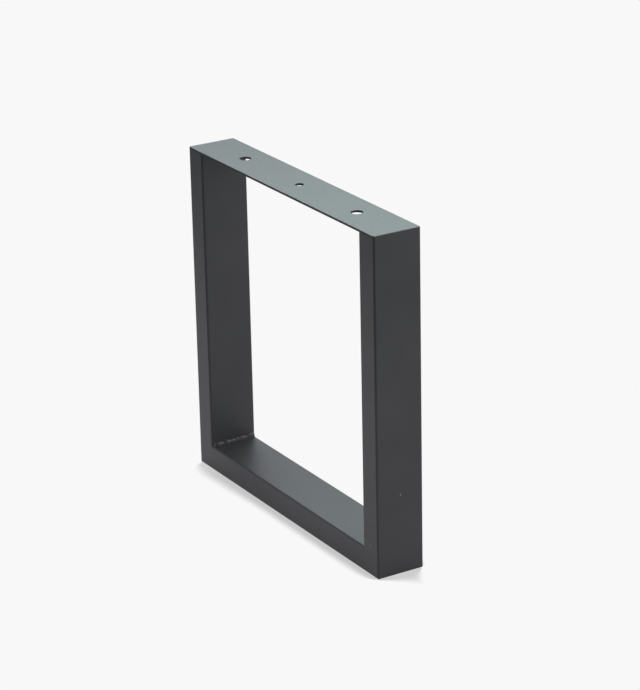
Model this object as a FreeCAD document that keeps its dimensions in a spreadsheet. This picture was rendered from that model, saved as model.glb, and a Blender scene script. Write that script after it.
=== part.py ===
"""U shaped table leg: a mitred frame of rectangular steel tube, closed on top by a drilled flat bar.

Millimetres. X runs across the frame, Y through its depth and Z up, from the middle of the footprint.
"""
import FreeCAD, Part
import os
from math import radians
import Sketcher
from FreeCAD import Placement, Rotation, Vector

# Driving sizes: alias, value and what it measures
SIZES = [
    ("frame_width", 400, "across the outer faces of both uprights"),
    ("frame_height", 400, "floor to the top of the plate"),
    ("tube_depth", 60, "long side of the tube section, which is the depth of the frame"),
    ("tube_face", 30, "short side of the tube section, seen from the front"),
    ("tube_wall", 1.5, "wall of the tube"),
    ("tube_corner_radius", 2.5, "outside corner radius of the tube"),
    ("seam_radius", 2, "rounding of the outer mitre seam after the weld is dressed"),
    ("plate_thickness", 2.5, "thickness of the top plate"),
    ("plate_edge_radius", 0.8, "rounding of the plate's upper rim"),
    ("hole_pitch", 120, "middle hole to each outer hole"),
    ("outer_hole_diameter", 14, "bore of the two outer holes"),
    ("middle_hole_diameter", 10, "bore of the middle hole"),
    ("bead_leg", 4, "leg of the inner corner welds, at the crest of a ripple"),
    ("bead_ripple_pitch", 6.5, "longest step between two ripples of a weld"),
    ("bead_ripple_depth", 0.6, "crest to valley of the ripples"),
    ("bead_setback", 2, "each end of a weld to the face of the frame"),
]

# Sketches are drawn roughly at this half size, and their dimensions then pull them into shape
ROUGH = 20.0
ROUGH_CORNER = 4.0
MITRE_ANGLE = 45
QUARTER_TURN = 90
HALF_TURN = 180
SAME_HEIGHT = 1e-6

doc = FreeCAD.newDocument("table_leg")
sheet = doc.addObject("Spreadsheet::Sheet", "Sizes")
for row, (alias, value, meaning) in enumerate(SIZES, start=1):
    sheet.set(f"A{row}", meaning)
    sheet.set(f"B{row}", str(value))
    sheet.setAlias(f"B{row}", alias)
doc.recompute()


def new_body(label):
    body = doc.addObject("PartDesign::Body", label)
    body.Label = label
    return body


def origin_plane(body, role):
    return next(feature for feature in body.Origin.OriginFeatures if feature.Role == role)


def new_sketch(body, name, role):
    """An empty sketch on one of the body's own origin planes."""
    sketch = body.newObject("Sketcher::SketchObject", name)
    sketch.AttachmentSupport = [(origin_plane(body, role), "")]
    sketch.MapMode = "FlatFace"
    return sketch


def drawn_size(sketch, kind, places):
    """What a dimension measures on the rough drawing."""
    if kind == "Radius":
        return sketch.Geometry[places[0]].Radius
    if kind == "Diameter":
        return sketch.Geometry[places[0]].Radius * 2
    step = sketch.getPoint(*places[2:]) - sketch.getPoint(*places[:2])
    return step.x if kind == "DistanceX" else step.y


def drive(sketch, kind, places, name, expression):
    """Add a dimension to a sketch and bind it to the sheet."""
    start = drawn_size(sketch, kind, places)
    index = sketch.addConstraint(Sketcher.Constraint(kind, *places, start))
    sketch.renameConstraint(index, name)
    sketch.setExpression("Constraints." + name, expression)


def place_point(sketch, geometry, vertex, name, x, y):
    """Hold a point of a sketch at two driven distances from the sketch's origin."""
    drive(sketch, "DistanceX", (-1, 1, geometry, vertex), name + "_x", x)
    drive(sketch, "DistanceY", (-1, 1, geometry, vertex), name + "_y", y)


def line(sketch, start, end):
    return sketch.addGeometry(Part.LineSegment(Vector(*start), Vector(*end)))


def arc(sketch, centre, radius, from_degrees, to_degrees):
    circle = Part.Circle(Vector(*centre), Vector(0, 0, 1), radius)
    return sketch.addGeometry(Part.ArcOfCircle(circle, radians(from_degrees), radians(to_degrees)))


def rounded_rectangle(sketch, name, width, height, top, radius):
    """A rectangle with rounded corners, centred across the sketch, with its top side at a given height."""
    far = ROUGH
    near = ROUGH - ROUGH_CORNER
    sides = [
        line(sketch, (near, far), (-near, far)),
        line(sketch, (-far, near), (-far, -near)),
        line(sketch, (-near, -far), (near, -far)),
        line(sketch, (far, -near), (far, near)),
    ]
    centres = [(-near, near), (-near, -near), (near, -near), (near, near)]
    corners = [
        arc(sketch, centre, ROUGH_CORNER, turn * QUARTER_TURN, (turn + 1) * QUARTER_TURN)
        for turn, centre in enumerate(centres, start=1)
    ]
    for turn in range(4):
        sketch.addConstraint(Sketcher.Constraint("Tangent", sides[turn], 2, corners[turn], 1))
        sketch.addConstraint(Sketcher.Constraint("Tangent", corners[turn], 2, sides[(turn + 1) % 4], 1))
    for side, direction in zip(sides, ("Horizontal", "Vertical", "Horizontal", "Vertical")):
        sketch.addConstraint(Sketcher.Constraint(direction, side))
    for corner in corners[1:]:
        sketch.addConstraint(Sketcher.Constraint("Equal", corners[0], corner))
    drive(sketch, "Radius", (corners[0],), name + "_radius", radius)
    drive(sketch, "DistanceX", (sides[1], 1, sides[3], 1), name + "_width", width)
    drive(sketch, "DistanceX", (-1, 1, sides[3], 1), name + "_half_width", f"({width}) / 2")
    drive(sketch, "DistanceY", (sides[2], 1, sides[0], 1), name + "_height", height)
    drive(sketch, "DistanceY", (-1, 1, sides[0], 1), name + "_top", top)


def cut_mitre(body, tube_start):
    """Cut one end of a tube at 45 degrees from its outer edge, and dress the tip of the outer seam.

    The tube lies along local X from tube_start, with its outer face at local Z = 0.
    """
    cut = new_sketch(body, body.Name + "_mitre", "XZ_Plane")
    seam = "Sizes.seam_radius"
    tip = "Sizes.seam_radius * (1 - sqrt(0.5))"
    clear = "2 * Sizes.tube_face"
    slope = line(cut, (-ROUGH_CORNER, -ROUGH_CORNER), (ROUGH, ROUGH))
    inner_side = line(cut, (ROUGH, ROUGH), (-ROUGH, ROUGH))
    end_side = line(cut, (-ROUGH, ROUGH), (-ROUGH, -ROUGH))
    outer_side = line(cut, (-ROUGH, -ROUGH), (0, -ROUGH))
    step = line(cut, (0, -ROUGH), (0, -ROUGH_CORNER))
    dressing = arc(cut, (0, 0), ROUGH_CORNER, HALF_TURN + MITRE_ANGLE, HALF_TURN + QUARTER_TURN)
    chain = [slope, inner_side, end_side, outer_side, step]
    for before, after in zip(chain, chain[1:]):
        cut.addConstraint(Sketcher.Constraint("Coincident", before, 2, after, 1))
    cut.addConstraint(Sketcher.Constraint("Coincident", step, 2, dressing, 2))
    cut.addConstraint(Sketcher.Constraint("Coincident", dressing, 1, slope, 1))
    cut.addConstraint(Sketcher.Constraint("Vertical", step))
    place_point(cut, dressing, 3, "dressing", f"{tube_start} + {seam}", seam)
    place_point(cut, slope, 1, "tip", f"{tube_start} + {tip}", tip)
    drive(cut, "DistanceX", (-1, 1, step, 2), "step_x", f"{tube_start} + {seam}")
    place_point(cut, slope, 2, "slope_end", f"{tube_start} + {clear}", clear)
    place_point(cut, end_side, 1, "inner_end", f"{tube_start} - {clear}", clear)
    place_point(cut, outer_side, 1, "outer_end", f"{tube_start} - {clear}", f"-{clear}")
    drive(cut, "DistanceY", (-1, 1, outer_side, 2), "step_foot", f"-{clear}")
    mitre = body.newObject("PartDesign::Pocket", body.Name + "_mitre_cut")
    mitre.Profile = cut
    mitre.Type = "ThroughAll"
    mitre.SideType = "Symmetric"
    return mitre


def make_tube(label, tube_start, length, both_ends):
    """A length of rounded rectangular tube along local X, mitred at its start or at both ends."""
    body = new_body(label)
    section = new_sketch(body, label + "_section", "YZ_Plane")
    rounded_rectangle(section, "outer", "Sizes.tube_depth", "Sizes.tube_face", "Sizes.tube_face",
                      "Sizes.tube_corner_radius")
    rounded_rectangle(section, "inner", "Sizes.tube_depth - 2 * Sizes.tube_wall",
                      "Sizes.tube_face - 2 * Sizes.tube_wall", "Sizes.tube_face - Sizes.tube_wall",
                      "Sizes.tube_corner_radius - Sizes.tube_wall")
    pad = body.newObject("PartDesign::Pad", label + "_tube")
    pad.Profile = section
    pad.setExpression("Length", length)
    if both_ends:
        pad.SideType = "Symmetric"
    doc.recompute()
    mitre = cut_mitre(body, tube_start)
    doc.recompute()
    if both_ends:
        far_end = body.newObject("PartDesign::Mirrored", label + "_far_mitre")
        far_end.Originals = [mitre]
        far_end.MirrorPlane = (origin_plane(body, "YZ_Plane"), [""])
        body.Tip = far_end
    return body


def make_upright(label, rotation, side):
    """An upright stands on its mitre, outer face outwards, and ends under the plate."""
    body = make_tube(label, "0", "Sizes.frame_height - Sizes.plate_thickness", both_ends=False)
    body.Placement = Placement(Vector(), rotation)
    body.setExpression("Placement.Base.x", f"{side} * Sizes.frame_width / 2")
    return body


def make_plate():
    """The flat bar on top: corners as round as the tube's, a softened upper rim and three holes in a line."""
    body = new_body("top_plate")
    outline = new_sketch(body, "plate_outline", "XY_Plane")
    rounded_rectangle(outline, "plate", "Sizes.frame_width", "Sizes.tube_depth", "Sizes.tube_depth / 2",
                      "Sizes.tube_corner_radius")
    bar = body.newObject("PartDesign::Pad", "plate_bar")
    bar.Profile = outline
    bar.setExpression("Length", "Sizes.plate_thickness")
    doc.recompute()

    top = bar.Shape.BoundBox.ZMax
    rim_edges = [
        f"Edge{number}" for number, edge in enumerate(bar.Shape.Edges, start=1)
        if top - edge.BoundBox.ZMin < SAME_HEIGHT
    ]
    rim = body.newObject("PartDesign::Fillet", "plate_rim")
    rim.Base = (bar, rim_edges)
    rim.setExpression("Radius", "Sizes.plate_edge_radius")
    doc.recompute()

    drilling = new_sketch(body, "plate_holes", "XY_Plane")
    for name, place, diameter in (
        ("left", "-Sizes.hole_pitch", "Sizes.outer_hole_diameter"),
        ("middle", None, "Sizes.middle_hole_diameter"),
        ("right", "Sizes.hole_pitch", "Sizes.outer_hole_diameter"),
    ):
        hole = drilling.addGeometry(Part.Circle(Vector(), Vector(0, 0, 1), ROUGH_CORNER))
        drive(drilling, "Diameter", (hole,), name + "_diameter", diameter)
        if place is None:
            drilling.addConstraint(Sketcher.Constraint("Coincident", hole, 3, -1, 1))
        else:
            drilling.addConstraint(Sketcher.Constraint("PointOnObject", hole, 3, -1))
            drive(drilling, "DistanceX", (-1, 1, hole, 3), name + "_place", place)
    holes = body.newObject("PartDesign::Pocket", "plate_drilled")
    holes.Profile = drilling
    holes.Type = "ThroughAll"
    holes.SideType = "Symmetric"
    body.setExpression("Placement.Base.z", "Sizes.frame_height - Sizes.plate_thickness")
    return body


def quarter_revolution(body, name, sketch):
    """Turn a profile that stands on the sketch's horizontal axis by a quarter, to fill an inner corner."""
    turned = body.newObject("PartDesign::Revolution", name)
    turned.Profile = sketch
    turned.ReferenceAxis = (sketch, ["H_Axis"])
    turned.Angle = QUARTER_TURN
    doc.recompute()
    return turned


def draw_ripple(body, row_length, step, valley):
    """One ripple of a weld, first in its row: a ridge with a flat crest, from valley to valley."""
    ripple = new_sketch(body, body.Name + "_ripple", "YZ_Plane")
    corners = [
        (-ROUGH, 0),
        (0, 0),
        (0, ROUGH),
        (-ROUGH_CORNER, ROUGH + ROUGH_CORNER),
        (ROUGH_CORNER - ROUGH, ROUGH + ROUGH_CORNER),
        (-ROUGH, ROUGH),
    ]
    sides = [line(ripple, start, end) for start, end in zip(corners, corners[1:] + corners[:1])]
    for before, after in zip(sides, sides[1:] + sides[:1]):
        ripple.addConstraint(Sketcher.Constraint("Coincident", before, 2, after, 1))
    root, far_side, far_flank, crest, near_flank, near_side = sides
    for side in (far_side, near_side):
        ripple.addConstraint(Sketcher.Constraint("Vertical", side))
    for vertex in (1, 2):
        ripple.addConstraint(Sketcher.Constraint("PointOnObject", root, vertex, -1))
    ripple.addConstraint(Sketcher.Constraint("Horizontal", crest))
    drive(ripple, "DistanceX", (root, 1, -1, 1), "row_start", f"{row_length} / 2")
    drive(ripple, "DistanceX", (root, 1, root, 2), "step", step)
    drive(ripple, "DistanceX", (root, 1, crest, 2), "crest_start", f"{step} / 3")
    drive(ripple, "DistanceX", (crest, 1, root, 2), "crest_end", f"{step} / 3")
    drive(ripple, "DistanceY", (-1, 1, far_flank, 1), "far_valley", valley)
    drive(ripple, "DistanceY", (-1, 1, near_flank, 2), "near_valley", valley)
    drive(ripple, "DistanceY", (-1, 1, crest, 1), "crest_height", "Sizes.bead_leg")
    return ripple


def draw_nose(body, row_length, valley):
    """The round end of a weld, past the last ripple."""
    nose = new_sketch(body, body.Name + "_nose", "YZ_Plane")
    root = line(nose, (ROUGH, 0), (ROUGH + ROUGH_CORNER, 0))
    cap = arc(nose, (ROUGH, 0), ROUGH_CORNER, 0, QUARTER_TURN)
    side = line(nose, (ROUGH, ROUGH_CORNER), (ROUGH, 0))
    for before, after in ((root, cap), (cap, side), (side, root)):
        nose.addConstraint(Sketcher.Constraint("Coincident", before, 2, after, 1))
    nose.addConstraint(Sketcher.Constraint("Coincident", cap, 3, root, 1))
    nose.addConstraint(Sketcher.Constraint("PointOnObject", root, 1, -1))
    nose.addConstraint(Sketcher.Constraint("Horizontal", root))
    nose.addConstraint(Sketcher.Constraint("Vertical", side))
    drive(nose, "DistanceX", (-1, 1, root, 1), "row_end", f"{row_length} / 2")
    drive(nose, "Radius", (cap,), "cap", valley)
    return nose


def make_weld(label, rotation, side, height):
    """A fillet weld along an inner corner: a row of ripples with a round nose at each end.

    Its root lies on local Y, and it fills the corner between local +X and local +Z.
    """
    body = new_body(label)
    valley = "(Sizes.bead_leg - Sizes.bead_ripple_depth)"
    row_length = f"(Sizes.tube_depth - 2 * Sizes.bead_setback - 2 * {valley})"
    count = f"ceil({row_length} / Sizes.bead_ripple_pitch)"
    step = f"({row_length} / {count})"
    first = quarter_revolution(body, label + "_first", draw_ripple(body, row_length, step, valley))
    row_of_ripples = body.newObject("PartDesign::LinearPattern", label + "_row")
    row_of_ripples.Originals = [first]
    row_of_ripples.Direction = (first.Profile[0], ["H_Axis"])
    row_of_ripples.setExpression("Length", f"{row_length} - {step}")
    row_of_ripples.setExpression("Occurrences", count)
    body.Tip = row_of_ripples
    doc.recompute()
    end = quarter_revolution(body, label + "_end", draw_nose(body, row_length, valley))
    both_ends = body.newObject("PartDesign::Mirrored", label + "_ends")
    both_ends.Originals = [end]
    both_ends.MirrorPlane = (origin_plane(body, "XZ_Plane"), [""])
    body.Tip = both_ends
    body.Placement = Placement(Vector(), rotation)
    body.setExpression("Placement.Base.x", f"{side} * (Sizes.frame_width / 2 - Sizes.tube_face)")
    body.setExpression("Placement.Base.z", height)
    return body


LEFT = -1
RIGHT = 1
AS_DRAWN = Rotation()
TURNED_ABOUT_X = Rotation(Vector(1, 0, 0), HALF_TURN)
TURNED_ABOUT_Y = Rotation(Vector(0, 1, 0), HALF_TURN)
TURNED_ABOUT_Z = Rotation(Vector(0, 0, 1), HALF_TURN)
LEFT_OUTER_FACE_OUT = Rotation(Vector(1, 0, 1), HALF_TURN)
RIGHT_OUTER_FACE_OUT = Rotation(Vector(0, 1, 0), -QUARTER_TURN)
RAIL_TOP = "Sizes.tube_face"
PLATE_UNDERSIDE = "Sizes.frame_height - Sizes.plate_thickness"

pieces = [
    make_upright("left_upright", LEFT_OUTER_FACE_OUT, LEFT),
    make_upright("right_upright", RIGHT_OUTER_FACE_OUT, RIGHT),
    make_tube("base_rail", "-Sizes.frame_width / 2", "Sizes.frame_width", both_ends=True),
    make_plate(),
    make_weld("weld_lower_left", AS_DRAWN, LEFT, RAIL_TOP),
    make_weld("weld_lower_right", TURNED_ABOUT_Z, RIGHT, RAIL_TOP),
    make_weld("weld_upper_left", TURNED_ABOUT_X, LEFT, PLATE_UNDERSIDE),
    make_weld("weld_upper_right", TURNED_ABOUT_Y, RIGHT, PLATE_UNDERSIDE),
]
doc.recompute()

for item in doc.Objects:
    if "Invalid" in item.State or "Error" in item.State:
        raise RuntimeError(f"{item.Label} failed: {item.State}")
for piece in pieces:
    shape = piece.Shape
    if shape.isNull() or not shape.isValid() or len(shape.Solids) != 1:
        raise RuntimeError(f"{piece.Label} is not one valid solid")

os.makedirs("parts", exist_ok=True)
for piece in pieces:
    piece.Shape.exportStep(f"parts/{piece.Label}.step")
    box = piece.Shape.BoundBox
    print(f"{piece.Label}: {piece.Shape.Volume:.1f} mm3,", f"x {box.XMin:.2f} to {box.XMax:.2f},",
          f"y {box.YMin:.2f} to {box.YMax:.2f},", f"z {box.ZMin:.2f} to {box.ZMax:.2f}")
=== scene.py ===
# Looks of a welded table leg: dark powder-coated steel tube on a pale studio floor. Metres.
import math
import random

import bmesh
import bpy
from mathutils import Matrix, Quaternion, Vector


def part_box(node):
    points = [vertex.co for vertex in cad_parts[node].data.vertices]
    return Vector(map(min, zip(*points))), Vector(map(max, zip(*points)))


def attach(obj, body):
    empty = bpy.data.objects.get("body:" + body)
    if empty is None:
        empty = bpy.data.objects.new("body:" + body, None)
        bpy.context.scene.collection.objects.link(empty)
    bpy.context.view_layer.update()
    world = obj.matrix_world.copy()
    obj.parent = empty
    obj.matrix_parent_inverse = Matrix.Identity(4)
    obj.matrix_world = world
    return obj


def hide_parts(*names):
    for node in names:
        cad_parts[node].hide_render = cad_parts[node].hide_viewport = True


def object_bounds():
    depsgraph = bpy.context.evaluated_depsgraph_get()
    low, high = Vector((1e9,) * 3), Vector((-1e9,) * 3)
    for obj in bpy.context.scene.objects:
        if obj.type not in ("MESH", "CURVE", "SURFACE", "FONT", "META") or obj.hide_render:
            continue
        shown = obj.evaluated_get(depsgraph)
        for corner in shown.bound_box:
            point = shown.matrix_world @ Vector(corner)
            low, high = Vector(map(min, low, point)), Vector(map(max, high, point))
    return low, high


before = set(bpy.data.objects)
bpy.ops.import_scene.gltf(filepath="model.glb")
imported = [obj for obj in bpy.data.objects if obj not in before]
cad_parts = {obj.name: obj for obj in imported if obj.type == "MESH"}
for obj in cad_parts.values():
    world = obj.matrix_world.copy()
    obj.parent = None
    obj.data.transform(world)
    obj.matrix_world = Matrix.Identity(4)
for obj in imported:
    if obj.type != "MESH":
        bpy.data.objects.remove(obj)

MM = 0.001
BODY = "root"
WHITE = (1, 1, 1, 1)

cad_low, cad_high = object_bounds()
scene = bpy.context.scene
scene.view_settings.view_transform = "Standard"

# Camera of the photograph, found from the straight edges of the frame
IMAGE_HEIGHT_PX = 690
FOCAL_PX = 2797.5
SENSOR = 36.0
CAMERA_PLACE = Vector((2.5580, -1.5232, 1.3466))
CAMERA_AZIMUTH = math.radians(58.86)
CAMERA_ELEVATION = math.radians(20.93)
CAMERA_ROLL = math.radians(-1.23)

# Sizes taken from the frame's own solids
RAIL_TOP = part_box("base_rail")[1].z
PLATE_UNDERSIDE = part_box("top_plate")[0].z
LEFT_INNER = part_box("left_upright")[1].x
RIGHT_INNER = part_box("right_upright")[0].x

# Weld beads in the inner corners: sizes and shape of a bead, and the fineness of its mesh
BEAD_LEG = 4.0 * MM
BEAD_SINK = 0.5 * MM
BEAD_VALLEY = 0.54
BEAD_CLIMB = (1.08, 1.36)
BEAD_BOW = 1.3 * MM
BEAD_WOBBLE = 0.04
BEAD_THINNEST = 0.02
BEAD_NOSE = 1.6 * MM
BEAD_LIMIT = 29 * MM
BEAD_STEP = 0.35 * MM
BEAD_ARC_STEPS = 14
BEAD_SEED = 7
# Lower left bead, from front to back: where its ripples end, in millimetres, and how full each one is
SEEN_ENDS = [-28.8, -26.6, -25.0, -14.6, -12.2, -4.8, 1.8, 6.4, 18.4, 37.0]
SEEN_FULLNESS = [1.45, 0.35, 0.9, 0.3, 0.94, 0.86, 0.86, 0.92, 1.12]
# The other beads have ripples of uneven length, in millimetres, and uneven fullness
RIPPLE_LENGTHS = (5.2, 7.8)
RIPPLE_FULLNESS = (0.9, 1.08)
BEAD_REACH = 28.2

# Powder coat: two tones that drift over the flats, and a painted shade on the plate's long cut edges and
# the tube corners
COAT_DARK = (0.0207, 0.0224, 0.0230, 1)
COAT_LIGHT = (0.0274, 0.0286, 0.0293, 1)
PAINTED_EDGE_SHADE = (0.0067, 0.0072, 0.0074, 1)
EDGE_FACING = (0.3, 0.7)
CORNER_TURN = (0.04, 0.2)
CORNER_SHADE_SHARE = 0.6
# Sheen and roughness of the coat, and the noise that gives its drift, orange peel and grain
COAT_SHEEN = 0.42
COAT_ROUGHNESS = (0.41, 0.45)
NOISE_SPAN = (0.3, 0.7)
DRIFT_SCALE = 14
DRIFT_DETAIL = 3
PEEL_SCALE = 240
GRAIN_SCALE = 1900
FINE_DETAIL = 2
PEEL_HEIGHT = 0.05 * MM
PEEL_STRENGTH = 0.18
GRAIN_HEIGHT = 0.02 * MM
GRAIN_STRENGTH = 0.3
# Pale flecks of dust in the coat of the right upright
FLECKS = [
    (0.2, 0.0005, 0.0958),
    (0.2, 0.0005, 0.0949),
    (0.1847, -0.03, 0.0363),
    (0.1846, -0.03, 0.0339),
]
FLECK_RADIUS = 0.7 * MM
FLECK_CORE = 0.5
FLECK_TONE = (0.22, 0.22, 0.225, 1)

# Studio: white paper under soft light
WHITE_LEVEL = 0.939
ROOM_LIGHT = 0.8
PAPER_TONE = (0.8, 0.8, 0.8, 1)
PAPER_ROUGHNESS = 0.9
FLOOR_HALF_SIZE = 4.0
FLOOR_DROP = 0.2 * MM
# In reflections the paper is white in a painted pool of light and dark beyond it
POOL_MIDDLE = (-0.2, 0.9, 0.0)
POOL_RADIUS = 1.3
POOL_EDGE = 2.0
BEYOND_POOL = 0.08
POOL_TINT = (0.93, 0.885, 0.945, 1)
BEYOND_TINT = (0.88, 1.0, 0.9, 1)
# In reflections the sky turns bluish towards the left
SKY_TINT = (1.06, 0.965, 1.16, 1)
SKY_TURN = (-0.75, -0.25)
# Painted contact shadow along the foot: how far it reaches, wider and paler at the left end, and how dark
# it is
FRONT_REACH = 15 * MM
LEFT_REACH = 24 * MM
WIDE_SHADOW_ENDS = (-0.17, -0.04)
LONG_SIDE_SQUARENESS = 12.0
LONG_SIDE_SHARE = 0.985
SHADOW_CORE = 0.15
SHADOW_END = 1.1
SHADOW_TONE = 0.6
PALE_SHADOW_ENDS = (-0.2, -0.155)
PALE_TONE = 0.7
CONTACT = 0.01 * MM
LEAST_SPREAD = 0.0001 * MM
# Beside the short ends of the foot the painted shadow is a wedge, widest a little behind the middle
SIDE_REACH = 37 * MM
SIDE_PEAK = 6 * MM
SHORT_SIDE_SHARE = 0.92
SIDE_CORE = 0.22
SIDE_TONE = 0.65
# Painted shadow in reflections: wide, and falling towards the front, away from the back left panel
REFLECTED_REACH = 0.15
REFLECTED_TONE = 0.2
SHADOW_LEAN = (-0.6, 0.36, 0.7)
# Soft panels: place, point they face, width, height, watts, colour
PANELS = {
    "back_left_panel": ((-1.2, 0.72, 1.25), (0, 0, 1.25), 1.6, 0.35, 15.2, (0.71, 1.0, 0.885)),
    "back_right_panel": ((1.0, 1.2, 0.8), (0, 0, 0.2), 1.0, 1.0, 6.2, (0.82, 0.86, 1.0)),
    "overhead_panel": ((0.35, 0.7, 1.25), (-0.1, 0, 0.1), 0.7, 0.7, 6.2, (0.97, 0.92, 1.0)),
}


def principled(name):
    """A new node material, with its tree and its shader."""
    material = bpy.data.materials.new(name)
    material.use_nodes = True
    tree = material.node_tree
    return material, tree, tree.nodes["Principled BSDF"]


def feed(tree, socket, value):
    """Links a socket, or sets it where the value is plain."""
    if isinstance(value, bpy.types.NodeSocket):
        tree.links.new(value, socket)
    else:
        socket.default_value = value


def math_node(tree, operation, *values):
    """One step of arithmetic on sockets or numbers."""
    node = tree.nodes.new("ShaderNodeMath")
    node.operation = operation
    for socket, value in zip(node.inputs, values):
        feed(tree, socket, value)
    return node.outputs["Value"]


def mix(tree, kind, factor, one, other):
    """A blend from one to the other, of kind FLOAT or RGBA."""
    node = tree.nodes.new("ShaderNodeMix")
    node.data_type = kind
    for name, value in (("Factor", factor), ("A", one), ("B", other)):
        feed(tree, node.inputs[name], value)
    return node.outputs["Result"]


def split(tree, vector):
    """The three parts of a vector."""
    node = tree.nodes.new("ShaderNodeSeparateXYZ")
    tree.links.new(vector, node.inputs["Vector"])
    return node.outputs["X"], node.outputs["Y"], node.outputs["Z"]


def distance(tree, place, point):
    """How far a place is from a fixed point."""
    node = tree.nodes.new("ShaderNodeVectorMath")
    node.operation = "DISTANCE"
    tree.links.new(place, node.inputs[0])
    node.inputs[1].default_value = point
    return node.outputs["Value"]


def seen_rays(tree):
    """The rays that see the white background, also reflected and through glass, and the camera's own."""
    path = tree.nodes.new("ShaderNodeLightPath").outputs
    camera = path["Is Camera Ray"]
    reflected = math_node(tree, "MAXIMUM", camera, path["Is Glossy Ray"])
    return math_node(tree, "MAXIMUM", reflected, path["Is Transmission Ray"]), camera


def noise(tree, coordinates, scale, detail):
    """Soft noise about a middle of one half."""
    node = tree.nodes.new("ShaderNodeTexNoise")
    node.inputs["Scale"].default_value = scale
    node.inputs["Detail"].default_value = detail
    tree.links.new(coordinates, node.inputs["Vector"])
    return node.outputs["Fac"]


def map_range(tree, value, low, high, to_low, to_high, kind="LINEAR"):
    """Carries a value from one range over to another, held at its ends."""
    node = tree.nodes.new("ShaderNodeMapRange")
    node.interpolation_type = kind
    tree.links.new(value, node.inputs["Value"])
    limits = {"From Min": low, "From Max": high, "To Min": to_low, "To Max": to_high}
    for name, limit in limits.items():
        feed(tree, node.inputs[name], limit)
    return node.outputs["Result"]


def bump(tree, height, depth, strength, under=None):
    """A surface normal from a height, laid over another normal where one is given."""
    node = tree.nodes.new("ShaderNodeBump")
    node.inputs["Distance"].default_value = depth
    node.inputs["Strength"].default_value = strength
    tree.links.new(height, node.inputs["Height"])
    if under is not None:
        tree.links.new(under, node.inputs["Normal"])
    return node.outputs["Normal"]


def make_powder_coat():
    """Baked anthracite coat: fine grain over faint orange peel, painted shade on edges and corners, and a
    few flecks.
    """
    material, tree, shader = principled("powder_coat_fine")
    place = tree.nodes.new("ShaderNodeTexCoord").outputs["Object"]
    drift = noise(tree, place, DRIFT_SCALE, DRIFT_DETAIL)
    grain = noise(tree, place, GRAIN_SCALE, FINE_DETAIL)
    peel = noise(tree, place, PEEL_SCALE, FINE_DETAIL)

    tone = mix(tree, "RGBA", map_range(tree, drift, *NOISE_SPAN, 0, 1), COAT_DARK, COAT_LIGHT)
    in_plate = math_node(tree, "GREATER_THAN", split(tree, place)[2], PLATE_UNDERSIDE)
    # Painted shade: the faces of the plate's long edges are darkened in the coat's colour
    facing = split(tree, tree.nodes.new("ShaderNodeNewGeometry").outputs["Normal"])[1]
    shaded_long_edge = map_range(tree, math_node(tree, "ABSOLUTE", facing), *EDGE_FACING, 0, 1)
    tone = mix(tree, "RGBA", math_node(tree, "MULTIPLY", shaded_long_edge, in_plate), tone, PAINTED_EDGE_SHADE)
    # Painted shade: the rounded corners of the tubes are darkened in the coat's colour
    squared = math_node(tree, "MULTIPLY", facing, facing)
    turned = math_node(tree, "SUBTRACT", squared, math_node(tree, "MULTIPLY", squared, squared))
    corner = map_range(tree, turned, *CORNER_TURN, 0, CORNER_SHADE_SHARE)
    tone = mix(tree, "RGBA", corner, tone, PAINTED_EDGE_SHADE)
    for spot in FLECKS:
        away = distance(tree, place, spot)
        near = map_range(tree, away, FLECK_CORE * FLECK_RADIUS, FLECK_RADIUS, 1, 0)
        tone = mix(tree, "RGBA", near, tone, FLECK_TONE)
    tree.links.new(tone, shader.inputs["Base Color"])
    shader.inputs["Specular IOR Level"].default_value = COAT_SHEEN

    rough = map_range(tree, peel, *NOISE_SPAN, *COAT_ROUGHNESS)
    tree.links.new(rough, shader.inputs["Roughness"])
    peeled = bump(tree, peel, PEEL_HEIGHT, PEEL_STRENGTH)
    grained = bump(tree, grain, GRAIN_HEIGHT, GRAIN_STRENGTH, peeled)
    tree.links.new(grained, shader.inputs["Normal"])
    return material


def ripple_share(place, ends, fullness):
    """How full the bead is at a place along it, from the ripple that it lies in."""
    for start, end, crest in zip(ends, ends[1:], fullness):
        if start <= place <= end:
            across = (2 * place - start - end) / (end - start)
            valley = min(crest, BEAD_VALLEY)
            return valley + (crest - valley) * math.sqrt(max(0.0, 1 - across * across))
    return BEAD_VALLEY


def nose_share(from_end):
    """Rounds the two ends of the bead off."""
    part = min(1.0, max(0.0, from_end / BEAD_NOSE))
    return math.sqrt(max(0.0, 1 - (1 - part) ** 2))


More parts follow.
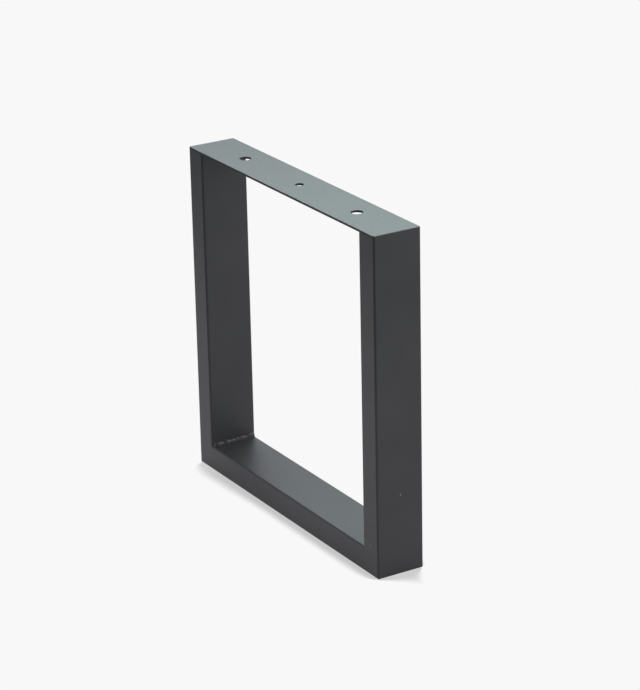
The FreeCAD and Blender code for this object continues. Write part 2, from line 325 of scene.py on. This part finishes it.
def make_bead(name, corner, across, up, ends, fullness, draw):
    """A closed, rippled fillet weld along Y in an inner corner, its root sunk into the pieces it joins."""
    ends = [value * MM for value in ends]
    root = corner - (across + up) * BEAD_SINK
    start, stop = ends[0], min(ends[-1], BEAD_LIMIT)
    count = round((stop - start) / BEAD_STEP)
    mesh = bmesh.new()
    rings = []
    for step in range(count + 1):
        y = start + (stop - start) * step / count
        wobble = 1 + BEAD_WOBBLE * draw.uniform(-1, 1)
        nose = nose_share(min(y - start, stop - y))
        climb = BEAD_CLIMB[0] + (BEAD_CLIMB[1] - BEAD_CLIMB[0]) * step / count
        ring = [mesh.verts.new(root + Vector((0, y, 0)))]
        for turn in range(BEAD_ARC_STEPS + 1):
            angle = math.pi / 2 * turn / BEAD_ARC_STEPS
            bowed = y - BEAD_BOW * math.sin(2 * angle)
            full = ripple_share(bowed, ends, fullness) * nose * wobble
            reach = max(full, BEAD_THINNEST) * BEAD_LEG + BEAD_SINK
            offset = across * (math.cos(angle) * reach / climb) + up * (math.sin(angle) * reach * climb)
            ring.append(mesh.verts.new(root + Vector((0, y, 0)) + offset))
        rings.append(ring)
    for near, far in zip(rings, rings[1:]):
        for turn in range(len(near)):
            after = (turn + 1) % len(near)
            mesh.faces.new((near[turn], near[after], far[after], far[turn]))
    mesh.faces.new(rings[0])
    mesh.faces.new(list(reversed(rings[-1])))
    bmesh.ops.recalc_face_normals(mesh, faces=mesh.faces)
    data = bpy.data.meshes.new(name)
    mesh.to_mesh(data)
    mesh.free()
    piece = bpy.data.objects.new(name, data)
    scene.collection.objects.link(piece)
    data.shade_smooth()
    return piece


def uneven_ripples(draw):
    """Ends and fullness of the ripples of a bead that is laid by hand."""
    ends = [-BEAD_REACH]
    while ends[-1] < BEAD_REACH - RIPPLE_LENGTHS[1]:
        ends.append(ends[-1] + draw.uniform(*RIPPLE_LENGTHS))
    return ends + [BEAD_REACH], [draw.uniform(*RIPPLE_FULLNESS) for ripple in ends]


def make_beads(coat):
    """One bead in each of the four inner corners."""
    draw = random.Random(BEAD_SEED)
    right, up = Vector((1, 0, 0)), Vector((0, 0, 1))
    places = {
        "weld_lower_left": (LEFT_INNER, RAIL_TOP, right, up),
        "weld_lower_right": (RIGHT_INNER, RAIL_TOP, -right, up),
        "weld_upper_left": (LEFT_INNER, PLATE_UNDERSIDE, right, -up),
        "weld_upper_right": (RIGHT_INNER, PLATE_UNDERSIDE, -right, -up),
    }
    for node, (x, z, across, rise) in places.items():
        ends, fullness = uneven_ripples(draw)
        if node == "weld_lower_left":
            ends, fullness = SEEN_ENDS, SEEN_FULLNESS
        bead = make_bead(node + "_bead", Vector((x, 0, z)), across, rise, ends, fullness, draw)
        bead.data.materials.append(coat)
        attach(bead, BODY)
        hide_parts(node)


def painted_side_shadow(tree, out, half_out, spread, core, tone):
    """Painted shadow beside two opposite sides of the foot, full to its core and gone where it has spread.
    """
    outside = math_node(tree, "MAXIMUM", math_node(tree, "SUBTRACT", out, half_out), CONTACT)
    part = math_node(tree, "DIVIDE", outside, math_node(tree, "ADD", spread, LEAST_SPREAD))
    return map_range(tree, part, core, SHADOW_END, tone, 1, "SMOOTHSTEP")


def painted_foot_shadow(tree, place):
    """Painted contact shadow of the rail on the floor, along its long sides and in wedges beside its ends.
    """
    half_width, half_depth = cad_high.x, cad_high.y
    x, y = split(tree, place)[:2]
    across, deep = math_node(tree, "ABSOLUTE", x), math_node(tree, "ABSOLUTE", y)

    reach = map_range(tree, x, *WIDE_SHADOW_ENDS, LEFT_REACH, FRONT_REACH)
    share = math_node(tree, "DIVIDE", across, half_width * LONG_SIDE_SHARE)
    rest = math_node(tree, "SUBTRACT", 1.0, math_node(tree, "POWER", share, LONG_SIDE_SQUARENESS))
    narrowing = math_node(tree, "SQRT", math_node(tree, "MAXIMUM", rest, 0.0))
    long_spread = math_node(tree, "MULTIPLY", narrowing, reach)
    long_tone = map_range(tree, x, *PALE_SHADOW_ENDS, PALE_TONE, SHADOW_TONE)
    long_sides = painted_side_shadow(tree, deep, half_depth, long_spread, SHADOW_CORE, long_tone)

    rise = map_range(tree, y, -half_depth, SIDE_PEAK, 0, SIDE_REACH)
    fall = map_range(tree, y, SIDE_PEAK, half_depth * SHORT_SIDE_SHARE, SIDE_REACH, 0)
    short_spread = math_node(tree, "MINIMUM", rise, fall)
    short_sides = painted_side_shadow(tree, across, half_width, short_spread, SIDE_CORE, SIDE_TONE)
    return math_node(tree, "MINIMUM", long_sides, short_sides)


def make_floor_paper():
    """White paper with a painted contact shadow to the camera, a painted pool of light in reflections,
    matt to the light.
    """
    material, tree, shader = principled("floor_paper")
    shader.inputs["Base Color"].default_value = PAPER_TONE
    shader.inputs["Roughness"].default_value = PAPER_ROUGHNESS
    shader.inputs["Specular IOR Level"].default_value = 0.0
    seen, camera = seen_rays(tree)
    place = tree.nodes.new("ShaderNodeTexCoord").outputs["Object"]

    # Painted pool of light, seen only in reflections
    pool = map_range(tree, distance(tree, place, POOL_MIDDLE), POOL_RADIUS, POOL_EDGE, 1, 0)
    lit = math_node(tree, "MAXIMUM", camera, pool)
    level = map_range(tree, lit, 0, 1, BEYOND_POOL, WHITE_LEVEL)
    tint = mix(tree, "RGBA", camera, mix(tree, "RGBA", pool, BEYOND_TINT, POOL_TINT), WHITE)

    # Painted shadow in reflections, from occlusion leaning to the back left
    lean = tree.nodes.new("ShaderNodeCombineXYZ")
    for axis, part in zip("XYZ", SHADOW_LEAN):
        lean.inputs[axis].default_value = part
    shade = tree.nodes.new("ShaderNodeAmbientOcclusion")
    shade.inputs["Distance"].default_value = REFLECTED_REACH
    tree.links.new(lean.outputs["Vector"], shade.inputs["Normal"])
    reflected = map_range(tree, shade.outputs["AO"], 0, 1, REFLECTED_TONE, 1)
    shadow = mix(tree, "FLOAT", camera, reflected, painted_foot_shadow(tree, place))

    # The paper glows with its white level times the painted pool and painted shadows, for the rays that
    # see the background
    glow = tree.nodes.new("ShaderNodeEmission")
    tree.links.new(tint, glow.inputs["Color"])
    tree.links.new(math_node(tree, "MULTIPLY", level, shadow), glow.inputs["Strength"])
    pick = tree.nodes.new("ShaderNodeMixShader")
    tree.links.new(seen, pick.inputs["Fac"])
    tree.links.new(shader.outputs["BSDF"], pick.inputs[1])
    tree.links.new(glow.outputs["Emission"], pick.inputs[2])
    tree.links.new(pick.outputs["Shader"], tree.nodes["Material Output"].inputs["Surface"])
    return material


def make_floor():
    """A wide sheet of paper just under the foot."""
    mesh = bmesh.new()
    bmesh.ops.create_grid(mesh, x_segments=1, y_segments=1, size=FLOOR_HALF_SIZE)
    data = bpy.data.meshes.new("floor")
    mesh.to_mesh(data)
    mesh.free()
    floor = bpy.data.objects.new("floor", data)
    floor.location.z = -FLOOR_DROP
    scene.collection.objects.link(floor)
    data.materials.append(make_floor_paper())


def make_world():
    """Even room light, and a white surround for the rays that see it."""
    world = bpy.data.worlds.new("studio")
    scene.world = world
    world.use_nodes = True
    tree = world.node_tree
    light = tree.nodes["Background"]
    light.inputs["Color"].default_value = WHITE
    light.inputs["Strength"].default_value = ROOM_LIGHT
    seen, camera = seen_rays(tree)
    across = split(tree, tree.nodes.new("ShaderNodeTexCoord").outputs["Generated"])[0]
    neutral = math_node(tree, "MAXIMUM", camera, map_range(tree, across, *SKY_TURN, 0, 1))
    surround = tree.nodes.new("ShaderNodeBackground")
    tree.links.new(mix(tree, "RGBA", neutral, SKY_TINT, WHITE), surround.inputs["Color"])
    surround.inputs["Strength"].default_value = WHITE_LEVEL
    pick = tree.nodes.new("ShaderNodeMixShader")
    tree.links.new(seen, pick.inputs["Fac"])
    tree.links.new(light.outputs["Background"], pick.inputs[1])
    tree.links.new(surround.outputs["Background"], pick.inputs[2])
    tree.links.new(pick.outputs["Shader"], tree.nodes["World Output"].inputs["Surface"])


def make_panels():
    """The soft panels behind and above the frame."""
    for name, (place, aim, width, height, watts, colour) in PANELS.items():
        lamp = bpy.data.lights.new(name, "AREA")
        lamp.shape = "RECTANGLE"
        lamp.size = width
        lamp.size_y = height
        lamp.energy = watts
        lamp.color = colour
        panel = bpy.data.objects.new(name, lamp)
        panel.location = place
        panel.rotation_mode = "QUATERNION"
        panel.rotation_quaternion = (Vector(aim) - Vector(place)).to_track_quat("-Z", "Y")
        panel.visible_camera = False
        scene.collection.objects.link(panel)


def make_camera():
    """The camera, from above to the right of the frame."""
    lens = bpy.data.cameras.new("camera")
    lens.sensor_width = SENSOR
    lens.lens = FOCAL_PX * SENSOR / IMAGE_HEIGHT_PX
    camera = bpy.data.objects.new("camera", lens)
    scene.collection.objects.link(camera)
    level = math.cos(CAMERA_ELEVATION)
    forward = Vector((
        -math.sin(CAMERA_AZIMUTH) * level,
        math.cos(CAMERA_AZIMUTH) * level,
        -math.sin(CAMERA_ELEVATION),
    ))
    camera.rotation_mode = "QUATERNION"
    camera.rotation_quaternion = forward.to_track_quat("-Z", "Y") @ Quaternion((0, 0, 1), CAMERA_ROLL)
    camera.location = CAMERA_PLACE
    scene.camera = camera


coat = make_powder_coat()
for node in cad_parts.values():
    node.material_slots[0].material = coat
make_beads(coat)
make_floor()
make_world()
make_panels()
make_camera()
